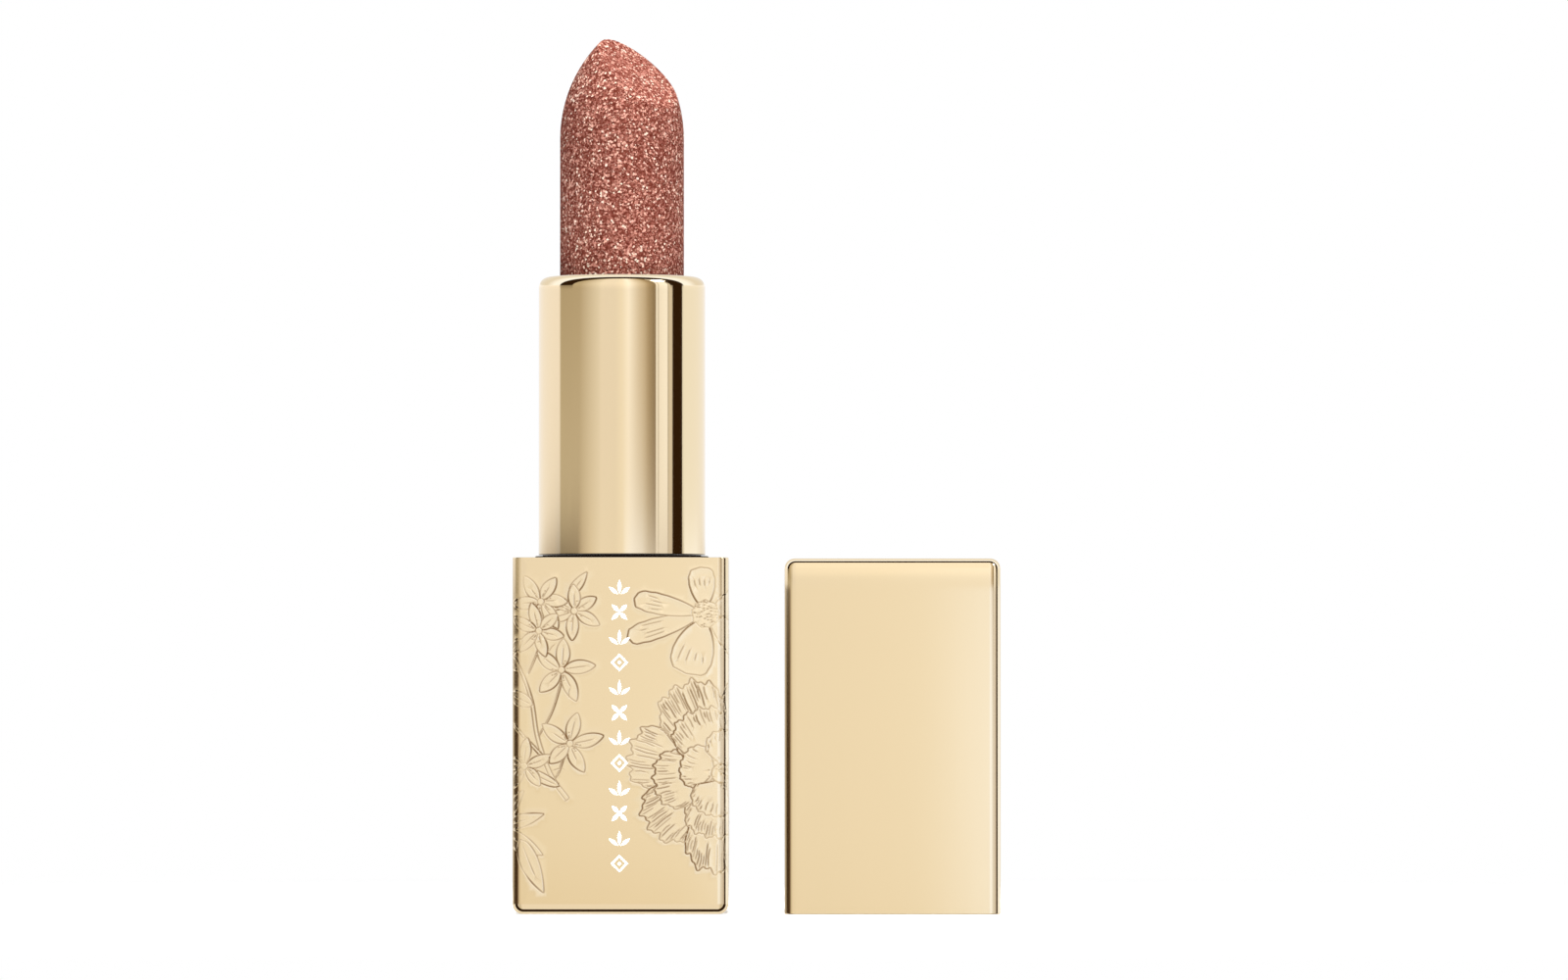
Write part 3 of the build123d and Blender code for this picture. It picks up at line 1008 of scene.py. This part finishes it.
# What the gold sees round the horizon, by degrees away from the front, to the right and to the left.
RIGHT_GLINTS = [
    (49.2, BRIGHT), (51.4, BRIGHT), (52.3, (0.35, 0.3, 0.22)), (53.2, BRIGHT), (66.6, PANEL),
    (67.8, (0.3, 0.25, 0.18)), (69, (0.75, 0.72, 0.67)), (80, (0.75, 0.72, 0.67)), (90, (0.95, 0.98, 1.0)),
    (180, BRIGHT),
]
RIGHT_HIGH = [
    (0, FRONT), (10, PANEL), (23.7, (0.76, 0.71, 0.65)), (32, (0.61, 0.54, 0.44)),
    (37.6, (0.44, 0.36, 0.25)), (46.3, (0.28, 0.22, 0.14)), (48, (0.26, 0.2, 0.13)), *RIGHT_GLINTS,
]
RIGHT_LOW = [
    (0, FRONT), (10, (1.0, 0.99, 1.0)), (23.7, (0.78, 0.74, 0.70)), (32, (0.64, 0.58, 0.50)),
    (37.6, (0.48, 0.41, 0.31)), (46.3, (0.31, 0.25, 0.17)), (48, (0.29, 0.23, 0.16)), *RIGHT_GLINTS,
]
LEFT_HIGH = [
    (0, FRONT), (8, (0.90, 0.88, 0.87)), (28, (0.90, 0.88, 0.87)), (31, (0.84, 0.82, 0.78)),
    (57, (0.54, 0.48, 0.38)), (60, (0.50, 0.44, 0.33)), (93, (0.48, 0.42, 0.31)), (96, (1.0, 1.0, 1.05)),
    (180, BRIGHT),
]
LEFT_LOW = [
    (0, FRONT), (8, (0.90, 0.88, 0.87)), (28, (0.90, 0.88, 0.87)), (31, (0.86, 0.84, 0.81)),
    (57, (0.69, 0.65, 0.56)), (93, (0.67, 0.63, 0.53)), (96, (1.0, 1.0, 1.05)), (180, BRIGHT),
]
LEFT_EDGE = [
    (0, FRONT), (8, (0.91, 0.89, 0.83)), (30, (0.93, 0.91, 0.86)), (44, (0.80, 0.74, 0.64)),
    (56, (0.50, 0.43, 0.36)), (63, (0.10, 0.06, 0.03)), (98, (0.03, 0.015, 0.005)), (108, (0.24, 0.19, 0.13)),
    (125, (0.42, 0.38, 0.34)), (150, (0.8, 0.8, 0.8)), (180, BRIGHT),
]
RIGHT_EDGE = [
    (0, FRONT), (2, (0.98, 0.97, 0.94)), (3.4, (1.04, 1.07, 1.13)), (6, (1.1, 1.2, 1.42)),
    (15, (1.12, 1.26, 1.6)), (28, (1.10, 1.23, 1.52)),
    (37, (0.92, 0.97, 1.1)), (54, (0.78, 0.79, 0.86)), (72, (0.64, 0.61, 0.62)), (95, (0.5, 0.47, 0.42)),
    (98, OUTSIDE), (125, OUTSIDE), (145, BEHIND), (180, BEHIND),
]
BELOW = [
    (0, (0.94, 0.92, 0.90)), (20, (0.94, 0.92, 0.9)), (38, (0.66, 0.61, 0.53)), (52, (0.60, 0.55, 0.46)),
    (60, BRIGHT), (108, BRIGHT), (128, (0.90, 0.88, 0.85)), (150, (0.84, 0.81, 0.76)),
    (180, (0.94, 0.93, 0.92)),
]


def build_world():
    """The studio that the pieces mirror, a softer light for matt surfaces, and white for the camera."""
    world = bpy.data.worlds.new("studio")
    bpy.context.scene.world = world
    world.use_nodes = True
    world.node_tree.nodes.clear()
    sky = Nodes(world.node_tree)
    add, sums, mix, step = sky.add, sky.math, sky.mix, sky.step

    def between(value, start, full, last, end):
        """1 from full to last, 0 before start and after end."""
        return sums("MULTIPLY", step(value, start, full), step(value, end, last))

    direction = add("ShaderNodeTexCoord").outputs["Generated"]
    x, y, z = add("ShaderNodeSeparateXYZ", {"Vector": direction}).outputs
    toward = sums("MULTIPLY", y, -1.0)
    away = sums("ARCTAN2", x, toward)
    side = sums("DIVIDE", sums("ABSOLUTE", away), math.pi)
    to_right = sums("GREATER_THAN", away, 0.0)
    up = sums("MULTIPLY", sums("ARCSINE", z), 180 / math.pi)
    off_axis = sums("MULTIPLY", sums("ARCCOSINE", toward), 180 / math.pi)
    high = step(up, HORIZON_LOW, HORIZON_HIGH)
    near_edge = step(up, EDGE_HIGH, EDGE_LOW)

    def panels(low_stops, high_stops, edge_stops):
        low, above, edge = (sky.ramp(side, band(stops)) for stops in (low_stops, high_stops, edge_stops))
        return mix(near_edge, mix(high, low, above), edge)

    right = panels(RIGHT_LOW, RIGHT_HIGH, RIGHT_EDGE)
    level = mix(to_right, panels(LEFT_LOW, LEFT_HIGH, LEFT_EDGE), right)
    # Down the front the panels turn a little duller and warmer.
    fade = sky.spread(up, 0.89, 1.0, -2.2, -1.2)
    warm = {"Red": fade, "Green": sums("POWER", fade, 1.6), "Blue": sums("POWER", fade, 2.9)}
    warm = add("ShaderNodeCombineColor", warm).outputs["Color"]
    level = mix(1.0, level, warm, blend_type="MULTIPLY")
    level = mix(step(up, -2.5, -2.9), level, sky.ramp(side, band(BELOW)))
    # Higher up the panels grow brighter, and behind the object all is bright.
    level = mix(step(up, 2.5, 5.5), level, sky.vector("SCALE", {0: level, "Scale": 1.14}))
    high_up = step(up, 4.0, 9.0)
    for colour, start, end in ((OUTSIDE, 88.0, 92.0), (BEHIND, 108.0, 128.0)):
        share = sums("MULTIPLY", high_up, step(off_axis, start, end))
        level = mix(share, level, darker(colour, 0.5))
    # A black frame stands round the panels: whole above, at the right, and far below.
    above = sums("MULTIPLY", between(off_axis, 70.5, 72.5, 94.5, 96.0), step(up, 2.8, 6.4))
    at_right = sums("MULTIPLY", to_right, step(up, -2.9, -2.5))
    beside = sums("MULTIPLY", between(off_axis, 74.4, 75.4, 92.6, 93.4), at_right)
    under = sums("MULTIPLY", between(off_axis, 60.0, 64.0, 97.5, 99.5), step(up, -2.5, -2.9))
    where = sums("MAXIMUM", sums("MAXIMUM", above, beside), under)
    level = mix(where, level, darker(BLACK, 0.5))
    # One small strong light high at the right.
    lamp = sky.vector("DOT_PRODUCT", {0: direction, 1: (0.651, -0.332, 0.683)}, "Value")
    glow = sums("MULTIPLY", step(lamp, 0.985, 0.995), 4.0)
    level = mix(glow, level, (1.0, 1.0, 1.0), blend_type="ADD", clamp_factor=False)
    # Matt surfaces are lit from the front and above, and less from the sides.
    key = sky.vector("DOT_PRODUCT", {0: direction, 1: (0.1, -0.2, 0.975)}, "Value")
    front_light = sky.spread(toward, 0.13, 1.06, 0.4, 1.0, interpolation_type="SMOOTHSTEP")
    key_light = sky.spread(key, 0.0, 6.2, 0.78, 1.0, interpolation_type="SMOOTHSTEP")
    soft = sums("ADD", front_light, key_light)
    soft = add("ShaderNodeCombineColor", {"Red": soft, "Green": soft, "Blue": soft}).outputs["Color"]
    path = add("ShaderNodeLightPath").outputs
    level = mix(path["Is Diffuse Ray"], level, soft)
    lit = add("ShaderNodeBackground", {"Color": level, "Strength": 2.0}).outputs[0]
    seen = add("ShaderNodeBackground", {"Color": (1.0, 1.0, 1.0, 1.0), "Strength": 1.0}).outputs[0]
    both = add("ShaderNodeMixShader", {0: path["Is Camera Ray"], 1: lit, 2: seen}).outputs[0]
    add("ShaderNodeOutputWorld", {"Surface": both})


def build_floor(centre_x):
    """A pale round table top that fades out into the white around it."""
    segments, radii, height = 96, (20, 40, 60, 90, 130, 170, 200), -0.02
    angles = np.linspace(0, 2 * math.pi, segments, endpoint=False)
    rings = [hoop(radius, height, angles) for radius in radii]
    vertices = np.vstack([np.array([[0, 0, height]]), *rings]) + np.array([centre_x, 0, 0])
    faces = [(0, 1 + k, 1 + (k + 1) % segments) for k in range(segments)]
    for r in range(len(radii) - 1):
        faces += strip(1 + (r + 1) * segments, 1 + r * segments, segments)
    floor = new_object("floor", vertices, faces)
    look = Look("floor")
    grain = look.noise(400, 3.0)
    look.set(
        Base_Color=look.mix(look.spread(grain, 0.0, 0.06), (0.86, 0.86, 0.86), (0.82, 0.82, 0.82)),
        Roughness=0.9,
        Specular_IOR_Level=0.1,
        Emission_Color=(1, 1, 1, 1),
        Emission_Strength=0.35,
    )
    distance = look.vector("DISTANCE", {0: look.coordinates, 1: (centre_x * MM, 0, 0)}, "Value")
    fade = look.spread(distance, 1.0, 0.0, 0.05, 0.17, interpolation_type="SMOOTHSTEP")
    clear = look.add("ShaderNodeBsdfTransparent").outputs[0]
    mixed = look.add("ShaderNodeMixShader", {0: fade, 1: clear, 2: look.shader.outputs[0]}).outputs[0]
    output = next(n for n in look.tree.nodes if n.type == "OUTPUT_MATERIAL")
    look.feed(output.inputs["Surface"], mixed)
    paint(floor, look.material)
    floor.visible_glossy = False  # polished faces see the studio's panels and not the table


def build_camera():
    """From a metre away, a little above the table and level with the base's middle."""
    camera = bpy.data.objects.new("camera", bpy.data.cameras.new("camera"))
    bpy.context.scene.collection.objects.link(camera)
    place, aim = Vector((13.15, -1000, 22.0)) * MM, Vector((15.83, 0, 41.2)) * MM
    camera.location = place
    camera.rotation_mode = "QUATERNION"
    camera.rotation_quaternion = (aim - place).to_track_quat("-Z", "Y")
    camera.data.sensor_width = 36
    camera.data.lens = 235.1
    camera.data.clip_start = 0.01
    camera.data.clip_end = 20
    camera.data.dof.use_dof = False
    bpy.context.scene.camera = camera


# --- The scene ---


def main():
    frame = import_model()
    cap_low, cap_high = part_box("cap_shell")
    cap_x = (cap_low.x + cap_high.x) / 2 / MM
    base_low, base_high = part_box("base_shell")
    pitch = side_pitch((base_high.x - base_low.x) / 2 / MM)

    base = shell("engraved_base", "base", "base_shell", 0.0, True, draw_base(pitch))
    cap = shell("plain_cap", "cap", "cap_shell", cap_x, False)
    tube = make_tube()
    lipstick = make_bullet()
    marks = make_marks()

    paint(base, engraved_gold())
    paint(cap, polished_gold("shell_gold", 0.075).material)
    paint(tube, tube_gold(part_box("outer_tube")[0].z))
    paint(lipstick, glitter_wax())
    paint(marks, paper("printed_marks", (0.9, 0.9, 0.88)))
    rubber = moulded("ring_rubber", (0.004, 0.002, 0.0015), 0.8, specular=0.0)
    steel = turned_metal("weight_steel", (0.56, 0.55, 0.53), 0.3)
    finishes = {
        "base_liner": moulded("deck_gold", (0.80, 0.62, 0.36), 0.22, 1.0),
        "cap_liner": moulded("liner_plastic", (0.74, 0.71, 0.65), 0.4),
        "fork": moulded("mechanism_plastic", (0.82, 0.80, 0.76), 0.35),
        "cam_sleeve": moulded("sleeve_plastic", (0.012, 0.009, 0.007), 0.6, specular=0.0),
        "seal_ring": rubber,
        "drag_ring": rubber,
        "base_weight": steel,
        "cap_weight": steel,
        "cup": turned_metal("cup_aluminium", (0.84, 0.84, 0.85), 0.25),
        "shade_label": paper("label_paper", (0.86, 0.85, 0.82)),
        "base_shell": base.data.materials[0],
        "cap_shell": cap.data.materials[0],
        "outer_tube": tube.data.materials[0],
        "bullet": lipstick.data.materials[0],
    }
    for node, material in finishes.items():
        paint(frame["nodes"][node], material)

    # The polished pieces see the studio and not each other.
    for piece in [base, cap, tube, lipstick, marks, *frame["nodes"].values()]:
        piece.visible_glossy = False

    build_world()
    build_floor(13.0)
    build_camera()
    bpy.context.scene.view_settings.view_transform = "Standard"


main()
